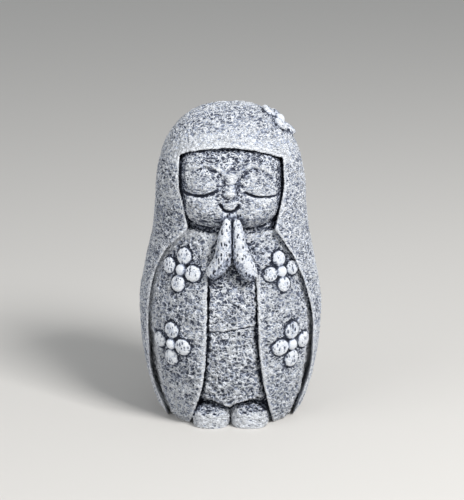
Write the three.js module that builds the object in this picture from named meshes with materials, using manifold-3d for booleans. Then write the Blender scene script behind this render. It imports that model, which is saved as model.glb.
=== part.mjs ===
// A small cast stone jizo: a hooded figure at prayer, in a sleeved robe with flowers on it.
// Millimetres, +Z up, the figure looks along -Y, and +X is to the right of someone facing it.
// The origin is the centre of the flat underside.
// The figure is one casting. Each of its forms is made on its own and then joined or cut.
import * as THREE from "three";
import { mergeVertices } from "three/addons/utils/BufferGeometryUtils.js";
import Module from "manifold-3d";

const wasm = await Module();
wasm.setup();

// Size of the whole figure
const HEIGHT = 150; // underside to the top of the hood
const WIDTH = 85; // across the cloak where it is widest
const DEPTH = 75; // front to back at that level
const SQUARENESS = 2.15; // exponent of the superellipse that each level follows

// Steps between the layers of clothing, measured square to the surface
const CLOAK_THICKNESS = 3.2; // cloak and hood over the sleeves
const CHEST_STEP = 0.9; // sleeves over the chest
const SLEEVE_STEP = 3.2; // sleeves over the skirt
const SIDE_STEP = 0.8; // sleeves over the hollows beside them
const OVERSKIRT_STEP = 1.2; // upper tier of the skirt over the lower one
const HEM_STEP = 7; // hem of the skirt over the hollow that the feet stand in

// Flowers
const PETALS = 4;
const PETAL_LENGTH = 8; // along the petal, from the middle of the flower
const PETAL_BREADTH = 7.7;
const PETAL_RELIEF = 1.8; // how far it stands out of the cloth
const PETAL_ROOT = 5; // how far it reaches into the cloth
const PETAL_SQUARENESS = 3; // a petal is flat on top, with steep sides
const FLOWER_RADIUS = 6.9; // middle of the flower to the middle of a petal
const BUTTON_DIAMETER = 5.4;
const BUTTON_RELIEF = 2.6;
const HOOD_PETAL_RELIEF = 1.2; // the hood's flower is flatter, and its petals' tips stand free

// Head, in the opening of the hood
const FACE_WIDTH = 48.6;
const FACE_HEIGHT = 43;
const FACE_DEPTH = 45;
const FACE_LEVEL = 117.3; // height of its middle
const FACE_FORWARD = 7.9; // its middle is this far in front of the figure's axis
const JOWL_SLOPE = 0.2; // how far the face comes forward for each mm down it
const FACE_SQUARENESS = 3.1;

// Hands and feet
const HAND_THICKNESS = 10.4; // front to back
const HAND_ROOT_THICKNESS = 13; // of the stone that ties both hands to the chest
const FOOT_LENGTH = 22;
const FOOT_WIDTH = 17.4;
const FOOT_HEIGHT = 11.5;
const FOOT_SPACING = 18; // middle to middle
const FOOT_SQUARENESS = 3;
const TOE_LINE = 27; // tips of the feet in front of the axis

// Fineness of the facets
const BODY_COLUMNS = 44;
const BODY_ROWS = 22;
const FRONT_FINENESS = 0.45; // share by which the columns close up towards the front
const OUTLINE_STEPS = 3; // straight pieces for each length of an outline's curve

// The carving is laid out on a drawing of the front view. It follows the body, whatever its size
const DRAWING = { width: 85, height: 150 };
const across = (x) => (x * WIDTH) / DRAWING.width;
const up = (z) => (z * HEIGHT) / DRAWING.height;
const spot = ([x, z]) => new THREE.Vector2(across(x), up(z));

// Half width, as a share of the widest, and level, as a share of the height, from the floor up
const SILHOUETTE = new THREE.SplineCurve(
  [
    [0.728, 0],
    [0.817, 0.047],
    [0.906, 0.12],
    [0.972, 0.22],
    [1, 0.32],
    [0.993, 0.406],
    [0.934, 0.499],
    [0.864, 0.592],
    [0.822, 0.685],
    [0.808, 0.758],
    [0.761, 0.834],
    [0.662, 0.901],
    [0.498, 0.956],
    [0.27, 0.989],
    [0, 1],
  ].map(([share, level]) => new THREE.Vector2((share * WIDTH) / 2, level * HEIGHT)),
);

// A number's power that keeps its sign
const bend = (value, power) => Math.sign(value) * Math.abs(value) ** power;

// Half width, half depth and height of the body's section at a share of the silhouette's length,
// for a body whose surface lies deeper by inset
function section(share, inset) {
  const point = SILHOUETTE.getPoint(share);
  const along = SILHOUETTE.getTangent(share);
  const outward = share === 1 ? 0 : along.y;
  const upward = share === 1 ? 1 : Math.max(-along.x, 0);
  return {
    halfWidth: Math.max(point.x - inset * outward, 0),
    halfDepth: Math.max((point.x * DEPTH) / WIDTH - inset * outward, 0),
    level: point.y - inset * upward,
  };
}

// The body's section at a given height, by halving the silhouette's length
function sectionAt(level, inset) {
  let low = 0;
  let high = 1;
  const halvings = 40;
  for (let i = 0; i < halvings; i += 1) {
    const middle = (low + high) / 2;
    if (section(middle, inset).level < level) low = middle;
    else high = middle;
  }
  return section(low, inset);
}

// A closed mesh as a solid that can be joined and cut
function solid(geometry) {
  const bare = geometry.clone();
  for (const name of Object.keys(bare.attributes)) {
    if (name !== "position") bare.deleteAttribute(name);
  }
  const merged = mergeVertices(bare, 1e-5);
  const corners = Array.from(merged.index.array);
  const triangles = [];
  for (let i = 0; i < corners.length; i += 3) {
    const [a, b, c] = corners.slice(i, i + 3);
    if (a !== b && b !== c && c !== a) triangles.push(a, b, c);
  }
  return new wasm.Manifold(
    new wasm.Mesh({
      numProp: 3,
      vertProperties: new Float32Array(merged.attributes.position.array),
      triVerts: new Uint32Array(triangles),
    }),
  );
}

const joined = (solids) => solids.reduce((whole, next) => whole.add(next));

// A closed form on a sphere's grid: place gives the point at an angle round it, counted from the
// front towards +X, and at a share of the way down it, from the top pole to the bottom one
function rounded(columns, rows, place) {
  const grid = new THREE.SphereGeometry(1, columns, rows);
  const position = grid.attributes.position;
  for (let row = 0; row <= rows; row += 1) {
    for (let column = 0; column <= columns; column += 1) {
      const turn = ((column % columns) / columns) * 2 * Math.PI - Math.PI / 2;
      const point = place(turn, row / rows);
      position.setXYZ(row * (columns + 1) + column, point.x, point.y, point.z);
    }
  }
  return solid(grid);
}

// An ellipsoid with its own three axes, plain or squared on its way from pole to pole. A fourth
// radius is the depth of its lower half, where that differs from the upper one's height. Plan is
// how square it is seen along its third axis
function pebble(middle, axes, radii, columns, rows, squareness = 2, plan = 2) {
  const [right, away, top] = axes;
  const [halfWidth, halfLength, height, depth = height] = radii;
  const power = 2 / squareness;
  return rounded(columns, rows, (turn, down) => {
    const polar = down * Math.PI;
    const ring = Math.sin(polar) ** power;
    return middle
      .clone()
      .addScaledVector(right, halfWidth * ring * bend(Math.sin(turn), 2 / plan))
      .addScaledVector(away, -halfLength * ring * bend(Math.cos(turn), 2 / plan))
      .addScaledVector(top, (down < 0.5 ? height : depth) * bend(Math.cos(polar), power));
  });
}

const WORLD_AXES = [
  new THREE.Vector3(1, 0, 0),
  new THREE.Vector3(0, 1, 0),
  new THREE.Vector3(0, 0, 1),
];

// The whole body, with its surface deeper by inset, standing on the floor
function body(inset) {
  const rim = BODY_ROWS - 1;
  return rounded(BODY_COLUMNS, BODY_ROWS, (turn, down) => {
    const row = Math.round(down * BODY_ROWS);
    if (row === BODY_ROWS) return new THREE.Vector3(0, 0, 0);
    const { halfWidth, halfDepth, level } = section(1 - row / rim, inset);
    const angle = turn - FRONT_FINENESS * Math.sin(turn);
    return new THREE.Vector3(
      halfWidth * bend(Math.sin(angle), 2 / SQUARENESS),
      -halfDepth * bend(Math.cos(angle), 2 / SQUARENESS),
      row === rim ? 0 : level,
    );
  });
}

// Point and outward direction on the body's front, at a place of the front view
function onFront(x, z, inset) {
  const { halfWidth, halfDepth } = sectionAt(z, inset);
  const surface = (px, pz) => {
    const at = sectionAt(pz, inset);
    const left = Math.max(1 - Math.abs(px / at.halfWidth) ** SQUARENESS, 0);
    return -at.halfDepth * left ** (1 / SQUARENESS);
  };
  const step = 0.05;
  const clear = Math.min(Math.abs(x), halfWidth - 4 * step) * Math.sign(x);
  const slopeX = (surface(clear + step, z) - surface(clear - step, z)) / (2 * step);
  const slopeZ = (surface(clear, z + step) - surface(clear, z - step)) / (2 * step);
  return {
    point: new THREE.Vector3(x, Math.max(surface(x, z), -halfDepth), z),
    outward: new THREE.Vector3(slopeX, -1, slopeZ).normalize(),
  };
}

// A limb: round sections of changing size along a curve. Each station is [x, y, z, half across,
// half front to back], and both ends are rounded off
function limb(stations, columns, rows) {
  const path = new THREE.CatmullRomCurve3(
    stations.map(([x, y, z]) => new THREE.Vector3(x, y, z)),
    false,
    "catmullrom",
    0.5,
  );
  const girth = new THREE.SplineCurve(stations.map((s) => new THREE.Vector2(s[3], s[4])));
  const front = new THREE.Vector3(0, -1, 0);
  return rounded(columns, rows, (turn, down) => {
    const share = (1 - Math.cos(down * Math.PI)) / 2;
    const cap = Math.sin(down * Math.PI) ** 0.5;
    const along = path.getTangent(share);
    const side = new THREE.Vector3().crossVectors(front, along).normalize();
    const away = new THREE.Vector3().crossVectors(along, side);
    const size = girth.getPoint(share);
    return path
      .getPoint(share)
      .addScaledVector(side, size.x * cap * Math.sin(turn))
      .addScaledVector(away, size.y * cap * Math.cos(turn));
  });
}

// A block cut straight back from the front view: an outline of curves, from in front of the
// figure to a depth behind its face
function block(curves, back) {
  const shape = new THREE.Shape();
  const start = spot(curves[0][0]);
  shape.moveTo(start.x, start.y);
  for (const curve of curves) shape.splineThru(curve.slice(1).map(spot));
  const inFront = DEPTH;
  const geometry = new THREE.ExtrudeGeometry(shape, {
    depth: inFront + back,
    bevelEnabled: false,
    curveSegments: OUTLINE_STEPS,
  });
  geometry.rotateX(Math.PI / 2);
  geometry.translate(0, back, 0);
  return solid(geometry);
}

// Outlines on the front view, [x, z], each a list of curves that share their ends
const BELOW = -3; // below the floor, so that a cut goes right through the underside

const CLOAK_EDGE_LEFT = [
  [-28.8, BELOW],
  [-31.8, 7.5],
  [-34.9, 15],
  [-37.4, 25],
  [-38.4, 42],
  [-38, 58],
  [-35.6, 72],
  [-30.4, 84.5],
  [-25.2, 90.7],
  [-19.4, 97],
];
const HOOD_EDGE_LEFT = [
  [-19.4, 97],
  [-21.4, 107.5],
  [-23.4, 117],
  [-23, 129.4],
];
const HOOD_BROW = [
  [-23, 129.4],
  [-17.5, 131.8],
  [-9, 133.4],
  [0, 133.9],
  [9, 133],
  [17, 130.8],
  [23.8, 128.2],
];
const HOOD_EDGE_RIGHT = [
  [23.8, 128.2],
  [24.3, 116],
  [22.8, 107],
  [20.4, 96.6],
];
const CLOAK_EDGE_RIGHT = [
  [20.4, 96.6],
  [25, 89.4],
  [30.6, 79.5],
  [35.4, 66],
  [38, 54],
  [38.7, 40],
  [37.7, 25],
  [34.9, 15],
  [32, 7.5],
  [29, BELOW],
];
const CLOAK_OPENING = [
  CLOAK_EDGE_LEFT,
  HOOD_EDGE_LEFT,
  HOOD_BROW,
  HOOD_EDGE_RIGHT,
  CLOAK_EDGE_RIGHT,
];

// The hollow round the face, down to the collar under the chin
const FACE_HOLLOW = [
  [
    [-25, 140],
    [-25, 100],
    [-20, 96.4],
  ],
  [
    [-20, 96.4],
    [-9, 94.4],
    [0, 93.9],
    [9, 94.2],
    [21, 96],
  ],
  [
    [21, 96],
    [26, 100],
    [26, 140],
  ],
];

// Between the sleeves: their inner edges, and the top behind the hands
const SLEEVE_EDGE_LEFT = [
  [-19.8, BELOW],
  [-17.2, 7.5],
  [-14.4, 16.5],
  [-12.2, 29],
  [-11.2, 46],
  [-10.8, 62],
  [-10.4, 76],
];
const SLEEVE_EDGE_RIGHT = [
  [11.8, 76],
  [12.6, 62],
  [13, 46],
  [14.6, 29],
  [16.8, 16.5],
  [18.8, 7.5],
  [21, BELOW],
];
const SKIRT_OPENING = [
  SLEEVE_EDGE_LEFT,
  [
    [-10.4, 76],
    [0, 86],
    [11.8, 76],
  ],
  SLEEVE_EDGE_RIGHT,
];

// The chest, a wedge beside each hand that runs out upwards
const CHEST_OPENING = [
  [
    [-10.4, 66],
    [-10.9, 76],
    [-10.8, 83],
    [-7.5, 91],
  ],
  [
    [-7.5, 91],
    [0, 96],
    [6.5, 90],
  ],
  [
    [6.5, 90],
    [11.2, 82],
    [12.2, 76],
    [12.2, 66],
  ],
];

// Narrow hollows between the cloak and the outer edges of the sleeves
const SIDE_HOLLOW_LEFT = [
  [
    [-31.4, BELOW],
    [-31.9, 12],
    [-32.8, 28],
    [-35.2, 42],
    [-39.5, 52],
  ],
  [
    [-39.5, 52],
    [-46, 30],
    [-40, BELOW],
  ],
];
const SIDE_HOLLOW_RIGHT = [
  [
    [40, BELOW],
    [46, 30],
    [40, 56],
  ],
  [
    [40, 56],
    [36.4, 44],
    [34.2, 28],
    [32.6, 12],
    [31.4, BELOW],
  ],
];

// The overskirt lies above this line, and the hollow for the feet below the hem
const OVERSKIRT = [
  [
    [-21, 50.2],
    [-7, 49.8],
    [2, 50.9],
    [12, 52.6],
    [22, 52.4],
  ],
  [
    [22, 52.4],
    [22, 88],
    [-21, 88],
    [-21, 50.2],
  ],
];
const FOOT_HOLLOW = [
  SLEEVE_EDGE_LEFT.slice(0, 2).concat([[-14.9, 15]]),
  [
    [-14.9, 15],
    [-9, 14.6],
    [-4.6, 12.6],
    [-0.6, 10.8],
  ],
  [
    [-0.6, 10.8],
    [3.4, 12.8],
    [9, 14.7],
    [17.2, 14.8],
  ],
  [[17.2, 14.8]].concat(SLEEVE_EDGE_RIGHT.slice(-2)),
];

// The face's own surface, a squared ellipsoid that comes forward towards the jowls
const faceMiddle = () => new THREE.Vector3(0, -FACE_FORWARD, up(FACE_LEVEL));

function facePoint(x, z) {
  const middle = faceMiddle();
  const wide = Math.abs(x / (FACE_WIDTH / 2)) ** FACE_SQUARENESS;
  const high = Math.abs((z - middle.z) / (FACE_HEIGHT / 2)) ** FACE_SQUARENESS;
  const forward = (FACE_DEPTH / 2) * Math.max(1 - wide - high, 0) ** (1 / FACE_SQUARENESS);
  return new THREE.Vector3(x, middle.y - forward - JOWL_SLOPE * (middle.z - z), z);
}

function head() {
  const columns = 28;
  const rows = 16;
  const power = 2 / FACE_SQUARENESS;
  const middle = faceMiddle();
  return rounded(columns, rows, (turn, down) => {
    const polar = down * Math.PI;
    const ring = Math.sin(polar) ** power;
    const rise = (FACE_HEIGHT / 2) * bend(Math.cos(polar), power);
    return new THREE.Vector3(
      (FACE_WIDTH / 2) * ring * bend(Math.sin(turn), power),
      middle.y - (FACE_DEPTH / 2) * ring * bend(Math.cos(turn), power) + JOWL_SLOPE * rise,
      middle.z + rise,
    );
  });
}

// A line on the face: [x, z, radius, how far its middle lies in front of the skin]
function faceLine(stations) {
  const columns = 6;
  const rows = 9;
  return limb(
    stations.map(([drawnX, z, radius, proud]) => {
      const x = across(drawnX);
      const skin = facePoint(x, up(z));
      return [x, skin.y - across(proud), up(z), across(radius), across(radius)];
    }),
    columns,
    rows,
  );
}

// A doll's face: shut lids under low brows, a short nose and a small smile
const LIDS = [
  { middle: [-12.4, 118.4], size: [9.2, 3, 5.8], sunk: 2.2 },
  { middle: [12, 118.2], size: [9.2, 3, 5.8], sunk: 2.2 },
];
const BROWS = [
  [
    [-21.6, 121, 0.8, -0.4],
    [-17.2, 125.4, 1.5, -0.7],
    [-10, 127.2, 1.7, -0.8],
    [-3.4, 123.2, 1.5, -0.8],
  ],
  [
    [3.8, 123.2, 1.5, -0.8],
    [10, 126.8, 1.7, -0.8],
    [16.4, 124.8, 1.5, -0.7],
    [21, 120.6, 0.8, -0.4],
  ],
];
const NOSE = [
  [0, 123, 1.3, -0.9],
  [0, 119.6, 1.5, -0.4],
  [-0.1, 117, 1.8, 0],
  [-0.2, 114.8, 2.2, 0.2],
];
const EYE_SLITS = [
  [
    [-20.8, 113.8, 0.5, 0],
    [-16, 113, 0.75, 0.1],
    [-11, 113.5, 0.75, 0.2],
    [-6.3, 115.5, 0.5, 0.2],
  ],
  [
    [6.4, 115, 0.5, 0.2],
    [11, 113.2, 0.75, 0.2],
    [16.5, 112.3, 0.75, 0.1],
    [21.6, 112.5, 0.5, 0],
  ],
];
const SMILE = [
  [-4.4, 109.3, 0.55, 0],
  [-2.9, 107, 0.7, 0],
  [-0.3, 106.1, 0.75, 0],
  [2.3, 106.9, 0.7, 0],
  [3.8, 109, 0.55, 0],
];

function face() {
  const lids = LIDS.map(({ middle, size, sunk }) => {
    const skin = facePoint(across(middle[0]), up(middle[1]));
    return pebble(skin.setY(skin.y + across(sunk)), WORLD_AXES, size.map(across), 12, 6);
  });
  const ridges = [...BROWS, NOSE].map(faceLine);
  const grooves = [...EYE_SLITS, SMILE].map(faceLine);
  return joined([head(), ...lids, ...ridges]).subtract(joined(grooves));
}

// Palms pressed together, from the fingertips down to the wrists, which part in an upturned V.
// Each station is [x, z, how far its middle lies in front of the chest, half across]
const LEFT_HAND = [
  [-1.2, 103, 3.8, 2.1],
  [-2.3, 96, 3.4, 3.2],
  [-2.7, 90.5, 3, 3.5],
  [-3.3, 85.5, 2.6, 4],
  [-5.3, 81, 1.8, 4.4],
  [-9.6, 76.4, 0.4, 4.2],
];
const RIGHT_HAND = [
  [2.8, 103, 3.8, 2.1],
  [3.7, 96, 3.4, 2.9],
  [4.1, 90.5, 3, 3.4],
  [5.2, 85.5, 2.6, 4.1],
  [7.2, 80.6, 1.8, 4.6],
  [10.6, 75.2, 0.4, 4.2],
];

// The stone behind both hands, from the chin down to where they part
const HAND_ROOT = [
  [0.4, 104.5, -2, 3],
  [0.4, 98, -2, 4.2],
  [0.6, 91, -2, 4.6],
  [0.9, 85, -2, 3.4],
];

function hand(stations, thickness) {
  const columns = 12;
  const rows = 13;
  return limb(
    stations.map(([x, z, proud, halfWidth], i) => {
      const { point } = onFront(across(x), up(z), CLOAK_THICKNESS);
      const tapered = i === 0 ? 0.6 : 1;
      const y = point.y - across(proud);
      return [across(x), y, up(z), across(halfWidth), (thickness / 2) * tapered];
    }),
    columns,
    rows,
  );
}

// A foot under the hem, worn blunt at the toes
const FOOT_BULGE = 0.3; // share of its height where it is widest

function foot(side) {
  const middle = new THREE.Vector3(
    (side * FOOT_SPACING) / 2,
    FOOT_LENGTH / 2 - TOE_LINE,
    FOOT_HEIGHT * FOOT_BULGE,
  );
  const radii = [FOOT_WIDTH / 2, FOOT_LENGTH / 2, FOOT_HEIGHT * (1 - FOOT_BULGE)];
  return pebble(middle, WORLD_AXES, radii, 16, 8, FOOT_SQUARENESS, FOOT_SQUARENESS);
}

// A flower: petals round a button, turned by an angle about the way out. A petal lies on the
// cloth at its own place, where the cloth is given, and else on the flower's flat plane
function flower(middle, outward, { turned, scale, relief, root, cloth }) {
  const right = new THREE.Vector3(0, 0, 1).cross(outward).normalize();
  const top = new THREE.Vector3().crossVectors(outward, right);
  const button = [BUTTON_DIAMETER / 2, BUTTON_DIAMETER / 2, BUTTON_RELIEF];
  const parts = [pebble(middle, [right, top, outward], button, 8, 4)];
  const petal = [(PETAL_LENGTH * scale) / 2, (PETAL_BREADTH * scale) / 2, relief, root];
  for (let i = 0; i < PETALS; i += 1) {
    const angle = THREE.MathUtils.degToRad(turned) + (i * 2 * Math.PI) / PETALS;
    const along = right
      .clone()
      .multiplyScalar(Math.cos(angle))
      .addScaledVector(top, Math.sin(angle));
    const place = middle.clone().addScaledVector(along, FLOWER_RADIUS * scale);
    const lie = cloth ? cloth(place.x, place.z) : { point: place, outward };
    const beside = new THREE.Vector3().crossVectors(lie.outward, along).normalize();
    const flat = new THREE.Vector3().crossVectors(beside, lie.outward);
    const axes = [flat, beside, lie.outward];
    parts.push(pebble(lie.point, axes, petal, 10, 6, PETAL_SQUARENESS));
  }
  return parts;
}

// The sleeves' four flowers: middle on the front view, how far each is turned, in degrees, and
// its size beside the others
const SLEEVE_FLOWERS = [
  { at: [-22.3, 77.4], turned: -8, scale: 0.95 },
  { at: [23.1, 76.6], turned: 6, scale: 0.88 },
  { at: [-27, 42], turned: -4, scale: 0.98 },
  { at: [28.2, 41.4], turned: 3, scale: 1.03 },
];

function sleeveFlowers() {
  const cloth = (x, z) => onFront(x, z, CLOAK_THICKNESS);
  return SLEEVE_FLOWERS.flatMap(({ at, turned, scale }) => {
    const place = spot(at);
    const { point, outward } = cloth(place.x, place.y);
    const form = { turned, scale, relief: PETAL_RELIEF, root: PETAL_ROOT, cloth };
    return flower(point, outward, form);
  });
}

// The hood's flower, on its upper right, on the line that parts front from back
const HOOD_FLOWER_ROUND = 88; // degrees round from the front
const HOOD_FLOWER_LEVEL = 0.949; // share of the height
const HOOD_FLOWER = { turned: 12, scale: 0.93, relief: HOOD_PETAL_RELIEF };

function hoodFlower() {
  const angle = THREE.MathUtils.degToRad(HOOD_FLOWER_ROUND);
  const level = HOOD_FLOWER_LEVEL * HEIGHT;
  const at = (turn, height) => {
    const { halfWidth, halfDepth } = sectionAt(height, 0);
    return new THREE.Vector3(
      halfWidth * bend(Math.sin(turn), 2 / SQUARENESS),
      -halfDepth * bend(Math.cos(turn), 2 / SQUARENESS),
      height,
    );
  };
  const turnStep = 0.03;
  const riseStep = 0.5;
  const round = at(angle + turnStep, level).sub(at(angle - turnStep, level));
  const rise = at(angle, level + riseStep).sub(at(angle, level - riseStep));
  const outward = new THREE.Vector3().crossVectors(round, rise).normalize();
  return flower(at(angle, level), outward, HOOD_FLOWER);
}

// Clothing from the inside out, then what stands on it
function figure() {
  const skirtInset = CLOAK_THICKNESS + SLEEVE_STEP;
  const middle = 0;

  const skirt = body(skirtInset);
  const overskirt = body(skirtInset - OVERSKIRT_STEP).intersect(block(OVERSKIRT, middle));
  const lining = body(CLOAK_THICKNESS + SIDE_STEP)
    .subtract(block(SKIRT_OPENING, middle))
    .subtract(block(FACE_HOLLOW, middle));
  const chest = body(CLOAK_THICKNESS + CHEST_STEP)
    .subtract(block(SKIRT_OPENING, middle))
    .subtract(block(FACE_HOLLOW, middle))
    .subtract(block(SIDE_HOLLOW_LEFT, middle))
    .subtract(block(SIDE_HOLLOW_RIGHT, middle));
  const sleeves = body(CLOAK_THICKNESS)
    .subtract(block(SKIRT_OPENING, middle))
    .subtract(block(FACE_HOLLOW, middle))
    .subtract(block(CHEST_OPENING, middle))
    .subtract(block(SIDE_HOLLOW_LEFT, middle))
    .subtract(block(SIDE_HOLLOW_RIGHT, middle));
  const hemDepth = sectionAt(up(12), skirtInset).halfDepth;
  const footHollow = block(FOOT_HOLLOW, HEM_STEP - hemDepth);
  const cloak = body(0).subtract(block(CLOAK_OPENING, middle));

  const robe = joined([skirt, overskirt, lining, chest, sleeves]).subtract(footHollow);
  const whole = joined([
    robe,
    cloak,
    face(),
    hand(LEFT_HAND, HAND_THICKNESS),
    hand(RIGHT_HAND, HAND_THICKNESS),
    hand(HAND_ROOT, HAND_ROOT_THICKNESS),
    foot(-1),
    foot(1),
    ...sleeveFlowers(),
    ...hoodFlower(),
  ]);
  const underside = new THREE.BoxGeometry(2 * WIDTH, 2 * DEPTH, HEIGHT);
  underside.translate(0, 0, -HEIGHT / 2);
  return whole.subtract(solid(underside));
}

function toGeometry(manifold) {
  const mesh = manifold.getMesh();
  const geometry = new THREE.BufferGeometry();
  const position = new THREE.BufferAttribute(new Float32Array(mesh.vertProperties), 3);
  geometry.setAttribute("position", position);
  geometry.setIndex(new THREE.BufferAttribute(new Uint32Array(mesh.triVerts), 1));
  geometry.computeVertexNormals();
  return geometry;
}

const castStone = new THREE.MeshStandardMaterial({
  color: 0x9aa3b2,
  roughness: 0.9,
  metalness: 0,
});

const statue = new THREE.Mesh(toGeometry(figure()), castStone);
statue.name = "jizo_statue";

const group = new THREE.Group();
group.add(statue);

export default group;
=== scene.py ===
import itertools
import math
from typing import NamedTuple

import bpy
import numpy as np
from bpy.props import FloatProperty, FloatVectorProperty, IntProperty, PointerProperty
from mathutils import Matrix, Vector


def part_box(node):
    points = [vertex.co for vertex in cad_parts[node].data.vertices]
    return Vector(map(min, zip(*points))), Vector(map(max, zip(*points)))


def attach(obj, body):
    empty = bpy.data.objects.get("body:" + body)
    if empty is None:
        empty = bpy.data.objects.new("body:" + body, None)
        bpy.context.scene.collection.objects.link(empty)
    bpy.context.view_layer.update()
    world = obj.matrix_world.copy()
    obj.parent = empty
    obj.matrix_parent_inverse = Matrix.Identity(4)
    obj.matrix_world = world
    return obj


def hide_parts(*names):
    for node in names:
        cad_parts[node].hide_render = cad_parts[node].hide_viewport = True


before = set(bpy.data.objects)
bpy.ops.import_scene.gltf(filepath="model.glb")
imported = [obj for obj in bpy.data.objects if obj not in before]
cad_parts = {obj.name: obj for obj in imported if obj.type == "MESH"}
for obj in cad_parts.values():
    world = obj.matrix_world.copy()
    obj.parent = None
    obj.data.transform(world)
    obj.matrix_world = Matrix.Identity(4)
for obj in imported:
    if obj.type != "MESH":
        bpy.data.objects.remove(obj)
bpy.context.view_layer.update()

bl_info = {
    "name": "Cast Stone Jizo",
    "version": (1, 0, 0),
    "blender": (4, 5, 0),
    "location": "3D Viewport > Sidebar > Jizo",
    "description": "A small praying figure in stippled cast stone, and the stage it stands on",
    "category": "Add Mesh",
}

MM = 0.001
CHEST_TOP = 96 * MM  # the cloth lies below this level, and the face above it
PEBBLE_RIM = 1.12  # how far out of a petal or button its own skin reaches, beside its radius
NODE = "jizo_statue"
LOWEST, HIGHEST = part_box(NODE)

# Half width, as a share of the widest, and level, as a share of the height, from the floor up
SILHOUETTE = [
    (0.728, 0), (0.817, 0.047), (0.906, 0.12), (0.972, 0.22), (1, 0.32), (0.993, 0.406),
    (0.934, 0.499), (0.864, 0.592), (0.822, 0.685), (0.808, 0.758), (0.761, 0.834), (0.662, 0.901),
    (0.498, 0.956), (0.27, 0.989), (0, 1),
]

# Outlines on the front view, in millimetres across and up, each a list of smooth curves
BELOW = -3  # below the floor, so that a cut goes right through the underside
CLOAK_OPENING = [
    [
        (-28.8, BELOW), (-31.8, 7.5), (-34.9, 15), (-37.4, 25), (-38.4, 42), (-38, 58), (-35.6, 72),
        (-30.4, 84.5), (-25.2, 90.7), (-19.4, 97),
    ],
    [(-19.4, 97), (-21.4, 107.5), (-23.4, 117), (-23, 129.4)],
    [(-23, 129.4), (-17.5, 131.8), (-9, 133.4), (0, 133.9), (9, 133), (17, 130.8), (23.8, 128.2)],
    [(23.8, 128.2), (24.3, 116), (22.8, 107), (20.4, 96.6)],
    [
        (20.4, 96.6), (25, 89.4), (30.6, 79.5), (35.4, 66), (38, 54), (38.7, 40), (37.7, 25),
        (34.9, 15), (32, 7.5), (29, BELOW),
    ],
]
FACE_HOLLOW = [
    [(-25, 140), (-25, 100), (-20, 96.4)],
    [(-20, 96.4), (-9, 94.4), (0, 93.9), (9, 94.2), (21, 96)],
    [(21, 96), (26, 100), (26, 140)],
]
SLEEVE_EDGE_LEFT = [
    (-19.8, BELOW), (-17.2, 7.5), (-14.4, 16.5), (-12.2, 29), (-11.2, 46), (-10.8, 62), (-10.4, 76),
]
SLEEVE_EDGE_RIGHT = [
    (11.8, 76), (12.6, 62), (13, 46), (14.6, 29), (16.8, 16.5), (18.8, 7.5), (21, BELOW),
]
SLEEVE_EDGES = (SLEEVE_EDGE_LEFT, SLEEVE_EDGE_RIGHT)
SKIRT_OPENING = [SLEEVE_EDGE_LEFT, [(-10.4, 76), (0, 86), (11.8, 76)], SLEEVE_EDGE_RIGHT]
CHEST_OPENING = [
    [(-10.4, 66), (-10.9, 76), (-10.8, 83), (-7.5, 91)],
    [(-7.5, 91), (0, 96), (6.5, 90)],
    [(6.5, 90), (11.2, 82), (12.2, 76), (12.2, 66)],
]
SIDE_HOLLOW_LEFT = [
    [(-31.4, BELOW), (-31.9, 12), (-32.8, 28), (-35.2, 42), (-39.5, 52)],
    [(-39.5, 52), (-46, 30), (-40, BELOW)],
]
SIDE_HOLLOW_RIGHT = [
    [(40, BELOW), (46, 30), (40, 56)],
    [(40, 56), (36.4, 44), (34.2, 28), (32.6, 12), (31.4, BELOW)],
]
OVERSKIRT = [
    [(-21, 50.2), (-7, 49.8), (2, 50.9), (12, 52.6), (22, 52.4)],
    [(22, 52.4), (22, 88)],
    [(22, 88), (-21, 88)],
]
FOOT_HOLLOW = [
    [(-19.8, BELOW), (-17.2, 7.5), (-14.9, 15)],
    [(-14.9, 15), (-9, 14.6), (-4.6, 12.6), (-0.6, 10.8)],
    [(-0.6, 10.8), (3.4, 12.8), (9, 14.7), (17.2, 14.8)],
    [(17.2, 14.8), (18.8, 7.5), (21, BELOW)],
]

# The hands, from the fingertips down: across, up, how far the middle lies in front of the
# chest, and half the width across
LEFT_HAND = [
    (-1.2, 103, 3.8, 2.1),
    (-2.3, 96, 3.4, 3.2),
    (-2.7, 90.5, 3, 3.5),
    (-3.3, 85.5, 2.6, 4),
    (-5.3, 81, 1.8, 4.4),
    (-9.6, 76.4, 0.4, 4.2),
]
RIGHT_HAND = [
    (2.8, 103, 3.8, 2.1),
    (3.7, 96, 3.4, 2.9),
    (4.1, 90.5, 3, 3.4),
    (5.2, 85.5, 2.6, 4.1),
    (7.2, 80.6, 1.8, 4.6),
    (10.6, 75.2, 0.4, 4.2),
]

# The stone behind both hands, from the chin down to where they part
HAND_ROOT = [
    (0.4, 104.5, -2, 3),
    (0.4, 98, -2, 4.2),
    (0.6, 91, -2, 4.6),
    (0.9, 85, -2, 3.4),
]

# Bumps of the face: across, up, half width, half height, and how far each stands out
FACE_BUMPS = [
    (-12.4, 118.4, 9.6, 6.6, 1.3),  # lids
    (12, 118.2, 9.6, 6.6, 1.3),
    (-12.4, 107.4, 11, 9, 0.9),  # cheeks
    (12, 107.2, 11, 9, 0.9),
    (0.4, 125, 6.5, 5.5, 1),  # between the brows
    (-0.3, 109.4, 3.4, 2.2, 0.6),  # lip
    (-0.2, 101, 6, 4, 0.8),  # chin
]

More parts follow.
